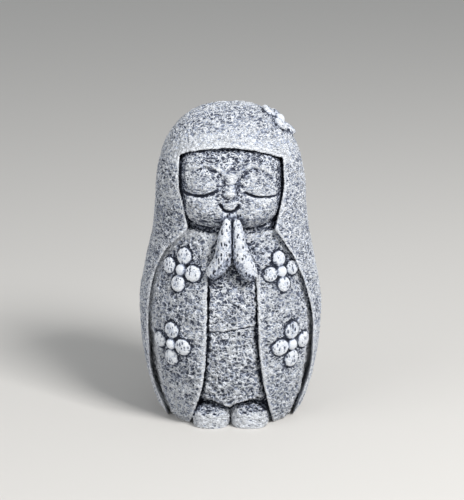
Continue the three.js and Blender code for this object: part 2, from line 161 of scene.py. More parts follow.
# Lines of the face, on the front view
BROWS = [
    [(-21.6, 121), (-17.2, 125.6), (-10, 127.4), (-4.8, 125), (-1, 121)],
    [(21, 120.6), (16.4, 125), (10, 127), (5.6, 124.8), (1.8, 121)],
]
FACE_MIDDLE = 0.4
NOSE = [(0.4, 122), (0.4, 118.5), (0, 114.8)]
UNDER_BROWS = [
    [(-19, 122), (-15.7, 124.2), (-10.5, 125.4), (-5.6, 123.4), (-3.4, 120.4), (-3.3, 117.3)],
    [(18.5, 119.8), (15.4, 123), (10.2, 125), (6.2, 123.3), (4.1, 120.8), (3.8, 117.3)],
]
EYE_SLITS = [
    [(-20.8, 113.8), (-16, 113), (-11, 113.5), (-6.3, 115.5)],
    [(6.4, 115), (11, 113.2), (16.5, 112.3), (21.6, 112.5)],
]
SMILE = [(-4.4, 109.3), (-2.9, 107), (-0.3, 106.1), (2.3, 106.9), (3.8, 109)]
UNDER_NOSE = [(-2.6, 113.6), (-0.2, 112.6), (2.4, 113.4)]

# The flowers on the sleeves: across, up, turned by so many degrees, and size beside the others
SLEEVE_FLOWERS = [
    (-22.3, 77.4, -8, 0.95),
    (23.1, 76.6, 6, 0.88),
    (-27, 42, -4, 0.98),
    (28.2, 41.4, 3, 1.03),
]
HOOD_FLOWER_ROUND = math.radians(88)
HOOD_FLOWER_LEVEL = 0.949
HOOD_FLOWER_TURNED = 12
HOOD_FLOWER_SCALE = 0.93


def length(name, words, millimetres):
    """A size that the user can change, kept in metres."""
    return FloatProperty(name=name, description=words, default=millimetres * MM, min=0, unit="LENGTH")


def share(name, words, value, most=1.0):
    """A plain number from nothing to a limit."""
    return FloatProperty(name=name, description=words, default=value, min=0, max=most)


def whole(name, words, value):
    """A whole number."""
    return IntProperty(name=name, description=words, default=value, min=0)


def wattage(name, words, watts):
    """The power of a light."""
    return FloatProperty(name=name, description=words, default=watts, min=0, unit="POWER")


def colour(name, words, value):
    """A linear colour."""
    return FloatVectorProperty(
        name=name, description=words, default=value, size=3, min=0, max=1, subtype="COLOR"
    )


class JizoFigure(bpy.types.PropertyGroup):
    """Sizes of the figure's forms, the same as in the CAD part."""

    height: length("Height", "Underside to the top of the hood", (HIGHEST.z - LOWEST.z) / MM)
    width: length("Width", "Across the cloak where it is widest", 85)
    depth: length("Depth", "Front to back where it is widest", 75)
    squareness: share("Squareness", "Exponent of the superellipse of each level", 2.15, 8)
    cloak_thickness: length("Cloak", "Cloak and hood over the sleeves", 3.2)
    chest_step: length("Chest step", "Sleeves over the chest", 0.9)
    sleeve_step: length("Sleeve step", "Sleeves over the skirt", 3.2)
    side_step: length("Side step", "Sleeves over the hollows beside them", 0.8)
    overskirt_step: length("Overskirt step", "Upper tier of the skirt over the lower one", 1.2)
    hem_step: length("Hem step", "Hem over the hollow that the feet stand in", 7)
    gutter: length("Gutter", "Radius of the groove beside the skirt", 2)
    face_width: length("Face width", "Across the cheeks", 48.6)
    face_height: length("Face height", "Chin to the top of the head", 43)
    face_depth: length("Face depth", "Front to back of the head", 45)
    face_level: length("Face level", "Height of the middle of the face", 117.3)
    face_forward: length("Face forward", "Middle of the face in front of the axis", 7.9)
    jowl_slope: share("Jowl slope", "How far the face comes forward for its length down", 0.2)
    face_squareness: share("Face squareness", "Exponent of the face's superellipsoid", 3.1, 8)
    hand_thickness: length("Hand thickness", "Front to back of a hand", 10.4)
    hand_root_thickness: length("Hand root", "The stone that ties the hands to the chest", 13)
    foot_length: length("Foot length", "Heel to toe", 22)
    foot_width: length("Foot width", "Across a foot", 17.4)
    foot_height: length("Foot height", "Floor to instep", 11.5)
    foot_spacing: length("Foot spacing", "Middle to middle", 18)
    toe_line: length("Toe line", "Tips of the feet in front of the axis", 27)
    petals: IntProperty(name="Petals", description="Petals of a flower", default=4, min=2)
    petal_length: length("Petal length", "Along a petal", 8)
    petal_breadth: length("Petal breadth", "Across a petal", 7.7)
    petal_relief: length("Petal relief", "Height of a petal on a sleeve", 1.8)
    petal_root: length("Petal root", "How far a petal reaches into the cloth", 5)
    hood_petal_relief: length("Hood petal relief", "Height of a petal on the hood", 1.2)
    flower_radius: length("Flower radius", "Middle of a flower to the middle of a petal", 6.9)
    button_diameter: length("Button", "Across the button of a flower", 5.4)
    button_relief: length("Button relief", "Height of the button", 2.6)


class JizoSurface(bpy.types.PropertyGroup):
    """How finely the casting is modelled, and its stippled skin."""

    voxel: length("Voxel", "Size of the cells that join the forms into one skin", 0.38)
    softness: whole("Softness", "Rounds of smoothing of the cast edges", 3)
    triangles: whole("Triangles", "Most triangles of the finished casting", 196000)
    triangles_behind: whole("Triangles behind", "How many of them are on its back", 48000)
    behind: length("Behind", "How far behind the axis its back starts", 6)
    seed: whole("Seed", "Picks another stipple of the same kind", 7)


class JizoPaint(bpy.types.PropertyGroup):
    """Colours of the stone and of what is brushed on it."""

    # Besides the real wash and brushing, the darker colours also show painted shade, and the lighter
    # ones painted light and a painted highlight, where these are laid onto the tone
    hollow: colour("Hollow", "Dark wash left in the deepest pits", (0.028, 0.034, 0.056))
    washed: colour("Washed", "Thin wash over the stone", (0.092, 0.104, 0.145))
    stone: colour("Stone", "Blue-grey of the casting", (0.25, 0.282, 0.37))
    brushed: colour("Brushed", "Off-white brushed over the ridges", (0.6, 0.66, 0.79))
    bright: colour("Bright", "Thickest of the brushed colour", (0.92, 0.95, 1.0))
    mark_spacing: length("Mark spacing", "Between the small dark marks", 1.45)
    cell_spacing: length("Cell spacing", "Between the pits of robe and skirt", 2)
    wrinkle_depth: length("Wrinkle depth", "Marks and ridges too fine for the mesh", 0.9)


class JizoStage(bpy.types.PropertyGroup):
    """Floor, lights and camera."""

    floor_size: length("Floor", "Side of the floor", 12000)
    floor_colour: colour("Floor colour", "Pale floor", (0.62, 0.6, 0.57))
    camera_distance: length("Camera distance", "Camera to the middle of the figure", 800)
    camera_elevation: FloatProperty(
        name="Camera elevation", description="Above the level", default=math.radians(16), subtype="ANGLE"
    )
    light_aim: length("Light aim", "How high on the figure the lights look", 80)
    key_power: wattage("Key", "Power of the main light", 16.5)
    fill_power: wattage("Fill", "Power of the fill light", 3)
    sky: share("Sky", "Strength of the even light all round", 0.45, 10)


def bend(value, power):
    """A number's power that keeps its sign."""
    return np.sign(value) * np.abs(value) ** power


def ease(low, high, value):
    """Smooth step: 0 below low, 1 above high, and a cubic with level ends between them."""
    part = np.clip((value - low) / (high - low), 0, 1)
    return part * part * (3 - 2 * part)


def curve(points, steps):
    """Catmull-Rom curve: each span between two points is the cubic through both whose slope at
    a point is half the way between its neighbours. Gives steps places on each span."""
    points = np.asarray(points, float)
    padded = np.vstack([points[:1], points, points[-1:]])
    at = np.linspace(0, len(points) - 1, (len(points) - 1) * steps + 1)
    span = np.minimum(at.astype(int), len(points) - 2)
    part = (at - span)[:, None]
    before, start, end, after = (padded[span + i] for i in range(4))
    return 0.5 * (
        2 * start
        + (end - before) * part
        + (2 * before - 5 * start + 4 * end - after) * part**2
        + (3 * start - before - 3 * end + after) * part**3
    )


def unit(vectors):
    """Vectors of length one, along the last axis."""
    return vectors / np.linalg.norm(vectors, axis=-1, keepdims=True)


def new_object(name, corners, faces):
    """An object at the origin with a mesh of these corners and faces."""
    mesh = bpy.data.meshes.new(name)
    mesh.from_pydata(np.asarray(corners).tolist(), [], faces)
    mesh.update()
    made = bpy.data.objects.new(name, mesh)
    bpy.context.scene.collection.objects.link(made)
    return made


def skin(name, rings, top, bottom):
    """Closed skin over a grid of rings, from the top one down, with a pole at each end. Seen
    from outside and above, the columns run anticlockwise."""
    rows, columns, _ = rings.shape
    index = np.arange(rows * columns).reshape(rows, columns)
    turned = np.roll(index, -1, axis=1)
    quads = np.stack([index[:-1], index[1:], turned[1:], turned[:-1]], -1).reshape(-1, 4)
    first = rows * columns
    top_fan = np.stack([np.full(columns, first), index[0], turned[0]], -1)
    bottom_fan = np.stack([np.full(columns, first + 1), turned[-1], index[-1]], -1)
    corners = np.vstack([rings.reshape(-1, 3), top, bottom])
    return new_object(name, corners, quads.tolist() + top_fan.tolist() + bottom_fan.tolist())


def rounded(name, columns, rows, place):
    """Closed form on a sphere's grid: place gives the points at the angles round it, counted
    from the front towards +X, and at the shares of the way down from pole to pole."""
    turn = np.arange(columns) * 2 * np.pi / columns - np.pi / 2
    down = np.arange(1, rows) / rows
    turns, downs = np.meshgrid(turn, down)
    poles = place(np.zeros((1, 2)), np.array([[0.0, 1.0]]))
    return skin(name, place(turns, downs), poles[0, 0], poles[0, 1])


def pebble(name, middle, axes, radii, squareness=2.0, plan=2.0, columns=48, rows=32):
    """Ellipsoid with its own axes: sine of the way down times sine and cosine of the turn, and
    cosine of the way down, each times its radius. A fourth radius is the depth of the lower
    half. Squareness bends the way down, so that the form is flatter on top with steeper sides,
    and plan bends the turn."""
    power = 2 / squareness
    right, away, top = axes
    depth = radii[-1]

    def place(turn, down):
        ring = np.sin(down * np.pi) ** power
        rise = bend(np.cos(down * np.pi), power)
        return (
            middle
            + radii[0] * (ring * bend(np.sin(turn), 2 / plan))[..., None] * right
            - radii[1] * (ring * bend(np.cos(turn), 2 / plan))[..., None] * away
            + np.where(rise > 0, radii[2], depth)[..., None] * rise[..., None] * top
        )

    return rounded(name, columns, rows, place)


def limb(name, stations, columns=40, rows=60):
    """Limb with rounded ends: a Catmull-Rom path through stations of a place and two radii,
    with an ellipse square to the path at each share of it. The share follows half of one minus
    the cosine of the way down, and the ends close with the root of its sine."""
    steps = 40
    line = curve(stations, steps)
    shares = np.linspace(0, 1, len(line))
    slopes = np.gradient(line[:, :3], axis=0)

    def place(turn, down):
        at = (1 - np.cos(down * np.pi)) / 2
        cap = np.sqrt(np.sin(down * np.pi))
        values = np.stack([np.interp(at, shares, line[:, i]) for i in range(5)], -1)
        along = unit(np.stack([np.interp(at, shares, slopes[:, i]) for i in range(3)], -1))
        side = unit(np.cross(np.array([0.0, -1.0, 0.0]), along))
        away = np.cross(along, side)
        return (
            values[..., :3]
            + side * (values[..., 3] * cap * np.sin(turn))[..., None]
            + away * (values[..., 4] * cap * np.cos(turn))[..., None]
        )

    return rounded(name, columns, rows, place)


def block(name, outline, back, steps=8):
    """Block with a front-view outline: the outline's curves at two depths, one well in front of
    the figure and one behind the cut, with flat ends."""
    loops = [curve(points, steps)[:-1] for points in outline]
    loop = np.vstack(loops) * MM
    if np.linalg.norm(loop[0] - np.array(outline[-1][-1]) * MM) > MM / 10:
        loop = np.vstack([loop, np.array(outline[-1][-1:]) * MM])
    count = len(loop)
    far = 0.1
    front = np.column_stack([loop[:, 0], np.full(count, -far), loop[:, 1]])
    rear = front + np.array([0, far + back, 0])
    ahead = np.arange(count)
    onward = np.roll(ahead, -1)
    sides = np.stack([ahead, onward, onward + count, ahead + count], -1).tolist()
    caps = [ahead[::-1].tolist(), (ahead + count).tolist()]
    made = new_object(name, np.vstack([front, rear]), sides + caps)
    signed = np.sum(loop[:, 0] * np.roll(loop[:, 1], -1) - np.roll(loop[:, 0], -1) * loop[:, 1])
    if signed > 0:
        made.data.flip_normals()
    return made


class Body:
    """The whole figure's egg-like body, which its layers of clothing follow at their depths."""

    columns = 240
    rows = 150
    fineness = 0.3  # share by which the columns close up towards the front

    def __init__(self, sizes):
        self.sizes = sizes
        share_line = curve(SILHOUETTE, 60)
        self.line = share_line * np.array([sizes.width / 2, sizes.height])
        slope = unit(np.gradient(self.line, axis=0))
        self.outward = slope[:, 1].copy()
        self.upward = np.maximum(-slope[:, 0], 0)
        self.outward[-1] = 0
        self.upward[-1] = 1
        self.shares = np.linspace(0, 1, len(self.line))

    def sections(self, inset):
        """Half width, half depth and level all the way up, moved in square to the outline."""
        half_width = np.maximum(self.line[:, 0] - inset * self.outward, 0)
        flat = self.sizes.depth / self.sizes.width
        half_depth = np.maximum(self.line[:, 0] * flat - inset * self.outward, 0)
        return half_width, half_depth, self.line[:, 1] - inset * self.upward

    def at_level(self, level, inset):
        """Half width and half depth at a height."""
        half_width, half_depth, levels = self.sections(inset)
        return np.interp(level, levels, half_width), np.interp(level, levels, half_depth)

    def front(self, x, level, inset):
        """How far forward the surface lies at a place of the front view."""
        half_width, half_depth = self.at_level(level, inset)
        exponent = self.sizes.squareness
        left = np.maximum(1 - np.abs(x / half_width) ** exponent, 0)
        return -half_depth * left ** (1 / exponent)

    def on_front(self, x, level, inset):
        """Place and outward direction on the front."""
        step = 0.1 * MM
        slope_x = (self.front(x + step, level, inset) - self.front(x - step, level, inset)) / (2 * step)
        slope_z = (self.front(x, level + step, inset) - self.front(x, level - step, inset)) / (2 * step)
        place = np.array([x, self.front(x, level, inset), level])
        return place, unit(np.array([slope_x, -1, slope_z]))

    def round(self, turn, level):
        """A place on the outer surface, at a turn from the front towards +X."""
        half_width, half_depth = self.at_level(level, 0)
        power = 2 / self.sizes.squareness
        across = half_width * bend(np.sin(turn), power)
        return np.array([across, -half_depth * bend(np.cos(turn), power), level])

    def layer(self, name, inset):
        """Closed skin of the body at a depth: at each level a superellipse, half the width
        times a power of the sine of the turn and half the depth times one of its cosine."""
        half_width, half_depth, levels = self.sections(inset)
        rows = np.linspace(1, 0, self.rows)[1:]
        widths = np.interp(rows, self.shares, half_width)[:, None]
        depths = np.interp(rows, self.shares, half_depth)[:, None]
        heights = np.interp(rows, self.shares, levels)[:, None]
        heights[-1] = 0
        turn = np.arange(self.columns) * 2 * np.pi / self.columns - np.pi / 2
        angle = turn - self.fineness * np.sin(turn)
        power = 2 / self.sizes.squareness
        rings = np.stack(
            [
                widths * bend(np.sin(angle), power),
                -depths * bend(np.cos(angle), power),
                heights + 0 * angle,
            ],
            -1,
        )
        return skin(name, rings, [0, 0, levels[-1]], [0, 0, 0])


def distance_to_line(x, z, points):
    """Distance of places on the front view from a smooth line, and the share along it of the
    nearest place: the least distance to the line's straight pieces."""
    line = curve(points, 8) * MM
    nearest = np.full(x.shape, np.inf)
    along = np.zeros(x.shape)
    for i in range(len(line) - 1):
        start = line[i]
        piece = line[i + 1] - start
        part = ((x - start[0]) * piece[0] + (z - start[1]) * piece[1]) / (piece @ piece)
        part = np.clip(part, 0, 1)
        away = np.hypot(x - start[0] - part * piece[0], z - start[1] - part * piece[1])
        along = np.where(away < nearest, (i + part) / (len(line) - 1), along)
        nearest = np.minimum(away, nearest)
    return nearest, along


def distance_to_lines(x, z, lines):
    """Distance of places on the front view from the nearest of several smooth lines."""
    return np.min([distance_to_line(x, z, line)[0] for line in lines], axis=0)


def dome(distance, radius):
    """Smooth bump: one in the middle, level at its rim, the square of one minus the distance's
    square."""
    return np.maximum(1 - (distance / radius) ** 2, 0) ** 2


def face_relief(x, z):
    """How far the skin of the face stands forward of the plain form at a place of the front
    view: bumps for lids, cheeks, brows, nose, lip and chin, less the grooves of eyes and smile,
    the one under the hood's edge, and the sides that fall back into the hood."""
    rise = np.zeros(x.shape)
    for across, up, half_width, half_height, proud in FACE_BUMPS:
        away = np.hypot((x - across * MM) / half_width, (z - up * MM) / half_height)
        rise += proud * MM * dome(away, MM)
    for line, proud, reach in (
        (BROWS[0], 0.9, 2.6),
        (BROWS[1], 0.9, 2.6),
        (CLOAK_OPENING[2], -2.2, 3),
        (SMILE, -2.5, 1.05),
    ):
        away, _ = distance_to_line(x, z, line)
        rise += proud * MM * dome(away, reach * MM)
    for line in UNDER_BROWS:
        away, along = distance_to_line(x, z, line)
        rise -= (0.15 + 0.45 * along) * MM * dome(away, (1.3 + 0.7 * along) * MM)
    away, along = distance_to_line(x, z, NOSE)
    bridge = 0.6 + 1.9 * along**1.6
    rise += bridge * MM * dome(away, (2.2 + 0.9 * along) * MM) ** 0.7
    for slit in EYE_SLITS:
        away, along = distance_to_line(x, z, slit)
        fade = np.sin(np.clip(along, 0.06, 0.94) * np.pi) ** 0.5
        rise -= 2.6 * MM * fade * dome(away, 0.95 * MM)
    return rise - 1.6 * MM * ease(19.8 * MM, 22.4 * MM, np.abs(x - FACE_MIDDLE * MM))


def head(sizes):
    """The face: a superellipsoid that comes forward towards the jowls, with the relief of its
    features added straight forward over the front half."""
    power = 2 / sizes.face_squareness

    def place(turn, down):
        ring = np.sin(down * np.pi) ** power
        rise = sizes.face_height / 2 * bend(np.cos(down * np.pi), power)
        x = sizes.face_width / 2 * ring * bend(np.sin(turn), power)
        facing = bend(np.cos(turn), power)
        y = -sizes.face_forward - sizes.face_depth / 2 * ring * facing + sizes.jowl_slope * rise
        z = sizes.face_level + rise
        forward = face_relief(x, z) * ease(0, 0.3, facing) * ease(0, 0.3, ring)
        return np.stack([x, y - forward, z], -1)

    return rounded("head", 360, 260, place)


def hand(name, body, stations, thickness):
    """One hand: a limb from the fingertips to the wrist that lies on the chest."""
    sizes = body.sizes
    places = []
    for i, (x, z, proud, half_width) in enumerate(stations):
        skin_y = body.front(x * MM, z * MM, sizes.cloak_thickness)
        taper = 0.6 if i == 0 else 1
        half_thickness = thickness / 2 * taper
        places.append((x * MM, skin_y - proud * MM, z * MM, half_width * MM, half_thickness))
    return limb(name, places)


def foot(name, sizes, side):
    """One foot: a squared pebble that is widest low down."""
    bulge = 0.3
    across = side * sizes.foot_spacing / 2
    back = sizes.foot_length / 2 - sizes.toe_line
    middle = np.array([across, back, sizes.foot_height * bulge])
    radii = (sizes.foot_width / 2, sizes.foot_length / 2, sizes.foot_height * (1 - bulge))
    return pebble(name, middle, np.eye(3), radii, 3.0, 3.0)


def flower(sizes, middle, outward, turned, scale, relief, cloth=None):
    """A flower: a button with petals at even angles round it, each a squared pebble that lies on
    the cloth at its own place, or else on the flower's flat plane. Gives each form's middle,
    axes, radii and squareness."""
    right = unit(np.cross([0, 0, 1], outward))
    top = np.cross(outward, right)
    button = (sizes.button_diameter / 2, sizes.button_diameter / 2, sizes.button_relief)
    forms = [(middle, (right, top, outward), button, 2.0)]
    radii = [sizes.petal_length * scale / 2, sizes.petal_breadth * scale / 2, relief]
    if cloth:
        radii.append(sizes.petal_root)
    for i in range(sizes.petals):
        angle = math.radians(turned) + i * 2 * math.pi / sizes.petals
        along = math.cos(angle) * right + math.sin(angle) * top
        place = middle + along * sizes.flower_radius * scale
        away = outward
        if cloth:
            place, away = cloth(place[0], place[2])
        beside = unit(np.cross(away, along))
        forms.append((place, (np.cross(beside, away), beside, away), radii, 3.0))
    return forms


def all_flowers(body):
    """The forms of the sleeves' flowers and of the hood's."""
    sizes = body.sizes
    flowers = []

    def cloth(x, z):
        return body.on_front(x, z, sizes.cloak_thickness)

    for x, z, turned, scale in SLEEVE_FLOWERS:
        place, outward = cloth(x * MM, z * MM)
        flowers.append(flower(sizes, place, outward, turned, scale, sizes.petal_relief, cloth))
    level = HOOD_FLOWER_LEVEL * sizes.height
    turn_step = 0.03
    rise_step = 0.5 * MM
    across = body.round(HOOD_FLOWER_ROUND + turn_step, level) - body.round(
        HOOD_FLOWER_ROUND - turn_step, level
    )
    rise = body.round(HOOD_FLOWER_ROUND, level + rise_step) - body.round(
        HOOD_FLOWER_ROUND, level - rise_step
    )
    outward = unit(np.cross(across, rise))
    middle = body.round(HOOD_FLOWER_ROUND, level)
    flowers.append(
        flower(sizes, middle, outward, HOOD_FLOWER_TURNED, HOOD_FLOWER_SCALE, sizes.hood_petal_relief)
    )
    return flowers


def carve(made, tools, operation):
    """Cuts an object with others, or keeps what it shares with them, and removes them."""
    for tool in tools:
        modifier = made.modifiers.new("carve", "BOOLEAN")
        modifier.operation = operation
        modifier.solver = "MANIFOLD"
        modifier.object = tool
    settle(made)
    for tool in tools:
        bpy.data.meshes.remove(tool.data)


def settle(made):
    """Puts the result of an object's modifiers into its mesh."""
    depsgraph = bpy.context.evaluated_depsgraph_get()
    result = bpy.data.meshes.new_from_object(made.evaluated_get(depsgraph))
    old = made.data
    made.modifiers.clear()
    made.data = result
    bpy.data.meshes.remove(old)


def gutters(body, inset):
    """Grooves along both edges of the skirt, which lies deepest beside the sleeves."""
    sizes = body.sizes
    made = []
    for edge in SLEEVE_EDGES:
        stations = []
        for x, z in edge:
            y = body.front(x * MM, max(z, 1) * MM, inset)
            stations.append((x * MM, y, z * MM, sizes.gutter, sizes.gutter))
        made.append(limb("gutter", stations, 24, 90))
    return made


def clothed_figure(body):
    """The layers of clothing from the inside out, each cut to its outline, then the face, hands,
    feet and flowers that stand on them. Gives the separate closed forms."""
    sizes = body.sizes
    skirt_inset = sizes.cloak_thickness + sizes.sleeve_step
    chest_inset = sizes.cloak_thickness + sizes.chest_step
    hem_level = 12 * MM
    hem_back = sizes.hem_step - body.at_level(hem_level, skirt_inset)[1]

    skirt = body.layer("skirt", skirt_inset)
    carve(skirt, gutters(body, skirt_inset), "DIFFERENCE")
    overskirt = body.layer("overskirt", skirt_inset - sizes.overskirt_step)
    carve(overskirt, [block("tier", OVERSKIRT, 0)], "INTERSECT")
    carve(overskirt, gutters(body, skirt_inset), "DIFFERENCE")
    lining = body.layer("lining", sizes.cloak_thickness + sizes.side_step)
    chest = body.layer("chest", chest_inset)
    sleeves = body.layer("sleeves", sizes.cloak_thickness)
    for made, openings in (
        (lining, (SKIRT_OPENING, FACE_HOLLOW)),
        (chest, (SKIRT_OPENING, FACE_HOLLOW, SIDE_HOLLOW_LEFT, SIDE_HOLLOW_RIGHT)),
        (sleeves, (SKIRT_OPENING, FACE_HOLLOW, CHEST_OPENING, SIDE_HOLLOW_LEFT, SIDE_HOLLOW_RIGHT)),
    ):
        carve(made, [block("opening", outline, 0) for outline in openings], "DIFFERENCE")
    for made in (skirt, lining, chest, sleeves):
        carve(made, [block("foot_hollow", FOOT_HOLLOW, hem_back)], "DIFFERENCE")
    cloak = body.layer("cloak", 0)
    carve(cloak, [block("opening", CLOAK_OPENING, 0)], "DIFFERENCE")
    forms = [skirt, overskirt, lining, chest, sleeves, cloak, head(sizes)]
    for name, stations, thickness in (
        ("left_hand", LEFT_HAND, sizes.hand_thickness),
        ("right_hand", RIGHT_HAND, sizes.hand_thickness),
        ("hand_root", HAND_ROOT, sizes.hand_root_thickness),
    ):
        forms.append(hand(name, body, stations, thickness))
    forms += [foot("left_foot", sizes, -1), foot("right_foot", sizes, 1)]
    for flower_forms in all_flowers(body):
        forms += [pebble("petal", *form) for form in flower_forms]
    return forms


def corner_values(mesh, name):
    """Three numbers for each corner of a mesh: its place, or its outward direction."""
    values = np.empty(len(mesh.vertices) * 3)
    mesh.vertices.foreach_get(name, values)
    return values.reshape(-1, 3)


def one_skin(forms, voxel):
    """Joins closed forms that overlap into one closed skin, by way of small cells."""
    corners = []
    faces = []
    count = 0
    for made in forms:
        mesh = made.data
        corners.append(corner_values(mesh, "co"))
        faces += [[corner + count for corner in face.vertices] for face in mesh.polygons]
        count += len(mesh.vertices)
        bpy.data.meshes.remove(mesh)
    joined = new_object(NODE + "_cast", np.vstack(corners), faces)
    remesh = joined.modifiers.new("one skin", "REMESH")
    remesh.mode = "VOXEL"
    remesh.voxel_size = voxel
    settle(joined)
    return joined


class Skin:
    """The corners of a mesh as arrays, with the neighbours of each."""

    def __init__(self, mesh):
        self.mesh = mesh
        self.places = corner_values(mesh, "co")
        ends = np.empty(len(mesh.edges) * 2, int)
        mesh.edges.foreach_get("vertices", ends)
        self.ends = ends.reshape(-1, 2)
        self.valence = np.bincount(ends, minlength=len(mesh.vertices))

    def averaged(self, values):
        """Mean of the neighbours' values at each corner."""
        count = len(self.valence)
        first, second = self.ends.T
        total = np.stack(
            [
                np.bincount(first, values[second, i], count)
                + np.bincount(second, values[first, i], count)
                for i in range(values.shape[1])
            ],
            -1,
        )
        return total / self.valence[:, None]

    def smoothed(self, values, rounds):
        """Values moved half the way to their neighbours' mean, so many times."""
        for _ in range(rounds):
            values = 0.5 * values + 0.5 * self.averaged(values)
        return values

    def write(self):
        self.mesh.vertices.foreach_set("co", self.places.ravel())
        self.mesh.update()

    def normals(self):
        """Outward direction at each corner."""
        self.write()
        return corner_values(self.mesh, "normal")

    def keep(self, name, values):
        """Keeps a number for each corner as an attribute."""
        attribute = self.mesh.attributes.new(name, "FLOAT", "POINT")
        attribute.data.foreach_set("value", values.astype(np.float32))


def lattice(cells, channel):
    """A number from 0 to 1 for each cell of a lattice: its three whole coordinates and the
    channel times large odd numbers, with their bits mixed."""
    mixed = cells[:, 0] * 73856093 ^ cells[:, 1] * 19349663 ^ cells[:, 2] * 83492791
    mixed ^= channel * 2654435761
    mixed = (mixed & 0xFFFFFFFF).astype(np.uint64)
    mixed = ((mixed ^ (mixed >> np.uint64(15))) * np.uint64(2246822519)) & np.uint64(0xFFFFFFFF)
    mixed = ((mixed ^ (mixed >> np.uint64(13))) * np.uint64(3266489917)) & np.uint64(0xFFFFFFFF)
    return (mixed ^ (mixed >> np.uint64(16))).astype(float) / 2**32


def soft_noise(places, size, channel):
    """Noise from -1 to 1: the lattice's numbers blended across each cell by the smooth step of
    the place in it."""
    scaled = places / size
    base = np.floor(scaled).astype(np.int64)
    part = ease(0, 1, scaled - base)
    total = np.zeros(len(places))
    for corner in itertools.product((0, 1), repeat=3):
        weight = np.prod(np.where(corner, part, 1 - part), axis=1)
        total += weight * lattice(base + corner, channel)
    return 2 * total - 1


def dabs(places, spacing, radii, channel, lean):
    """Distances from the nearest dab of the stippling brush and from the next, 0 in a dab's
    middle and 1 at its rim. One dab lies somewhere in each cell of a lattice: an ellipsoid with
    its long axis in a direction of its own that leans one way, and distances are counted in its
    radii."""
    base = np.floor(places / spacing).astype(np.int64)
    nearest = np.full(len(places), np.inf)
    second = np.full(len(places), np.inf)
    long_radius, short_radius = radii
    for step in itertools.product((-1, 0, 1), repeat=3):
        cells = base + step
        middle = cells + np.stack([lattice(cells, channel + i) for i in range(3)], -1)
        away = places - middle * spacing
        aim = np.stack([lattice(cells, channel + 3 + i) - 0.5 for i in range(3)], -1)
        aim = unit(aim + lean)
        size = 0.7 + 0.6 * lattice(cells, channel + 6)
        along = np.sum(away * aim, axis=1)
        across = np.sum(away * away, axis=1) - along**2
        reach = ((along / long_radius) ** 2 + across / short_radius**2) / size**2
        second = np.minimum(second, np.maximum(nearest, reach))
        nearest = np.minimum(nearest, reach)
    return np.sqrt(nearest), np.sqrt(second)


class Finish(NamedTuple):
    """How a part of the figure is stippled and brushed. Sizes are in millimetres."""

    spacing: float  # between the brush's dabs
    radii: tuple  # half the length and half the breadth of a dab
    depth: float  # of a dab
    lean: tuple  # the way the dabs lean, against their own directions
    wrinkles: float  # height of the ridges between dabs, beside their depth
    brushed: float  # middle tone, from 0 in the darkest wash to 1 in the brightest brushing
    marked: float  # strength of the small dark marks
    upright: float  # 0 where those marks lie level and 1 where they stand
    curled: float  # strength of the light ridges and of the thin light lines
    coarse: float  # 0 where marks and lines are fine and 1 where they are coarse


FINISHES = {
    "hood": Finish(1.9, (1.8, 0.75), 0.5, (0.9, 0.0, 0.15), 1.1, 0.52, 0.3, 0, 1.2, 0),
    "robe": Finish(2.3, (1.6, 1.0), 0.6, (0.3, 0.0, 0.1), 1.5, 0.49, 0.14, 0, 1.4, 0.8),
    "skirt": Finish(2.5, (1.8, 1.1), 0.6, (0.4, 0.0, 0.0), 1.5, 0.48, 0.14, 0, 1.4, 1),
    "face": Finish(1.7, (1.3, 0.75), 0.25, (0.6, 0.0, 0.1), 1.1, 0.37, 0.2, 0, 1.3, 0),
    "hand": Finish(1.6, (0.8, 0.45), 0.45, (0.0, 0.0, 0.9), 0.3, 0.58, 1.6, 1, 0.3, 0),
    "petal": Finish(1.9, (0.85, 0.45), 0.35, (0.0, 0.0, 0.3), 0.2, 0.65, 1.2, 1, 0.3, 0),
    "button": Finish(4.0, (0.6, 0.4), 0.1, (0.0, 0.0, 0.0), 0.0, 0.7, 0.2, 0, 0.2, 0),
    "foot": Finish(2.1, (1.6, 0.7), 0.55, (0.9, 0.0, 0.0), 1.1, 0.66, 1.6, 0, 1.2, 0.2),
}


def dabbed(places, finish, channel):
    """Height of the stipple, and the ridges in it: one, less the pits of large dabs and of
    smaller ones among them, with a ridge half way between each two neighbouring dabs that
    swells and runs out with a noise."""
    spacing = finish.spacing * MM
    radii = np.array(finish.radii) * MM
    lean = np.array(finish.lean)
    nearest, second = dabs(places, spacing, radii, channel, lean)
    large = ease(0.3, 1.15, nearest)
    smaller = 0.55
    inner, _ = dabs(places, smaller * spacing, smaller * radii, channel + 7, lean)
    small = ease(0.3, 1.2, inner)
    swell = soft_noise(places, 2.2 * spacing, channel + 14)
    ridge = (1 - ease(0.0, 0.24, second - nearest)) * ease(-1.1, 0.3, swell)
    return large + 0.4 * small + finish.wrinkles * ridge, ridge


def ranked(values):
    """Each value's place in the order of them all, from 0 to 1."""
    order = np.empty(len(values))
    order[np.argsort(values)] = np.linspace(0, 1, len(values))
    return order


def pebble_reach(places, form):
    """How far out of a pebble each place is: 1 on its surface."""
    middle, axes, radii, squareness = form
    away = places - middle
    right, beside, top = (away @ axis / radius for axis, radius in zip(axes, radii))
    flat = np.hypot(right, beside)
    return (flat**squareness + np.abs(top) ** squareness) ** (1 / squareness)


def polygon_holds(outline, x, z):
    """Whether places of the front view lie inside an outline: a ray to the right of each
    crosses it an odd number of times."""
    loop = np.vstack([curve(points, 6) for points in outline]) * MM
    inside = np.zeros(x.shape, bool)
    for start, end in zip(loop, np.roll(loop, -1, axis=0)):
        if start[1] == end[1]:
            continue
        crossing = (start[1] > z) != (end[1] > z)
        at = start[0] + (z - start[1]) / (end[1] - start[1]) * (end[0] - start[0])
        inside ^= crossing & (x < at)
    return inside


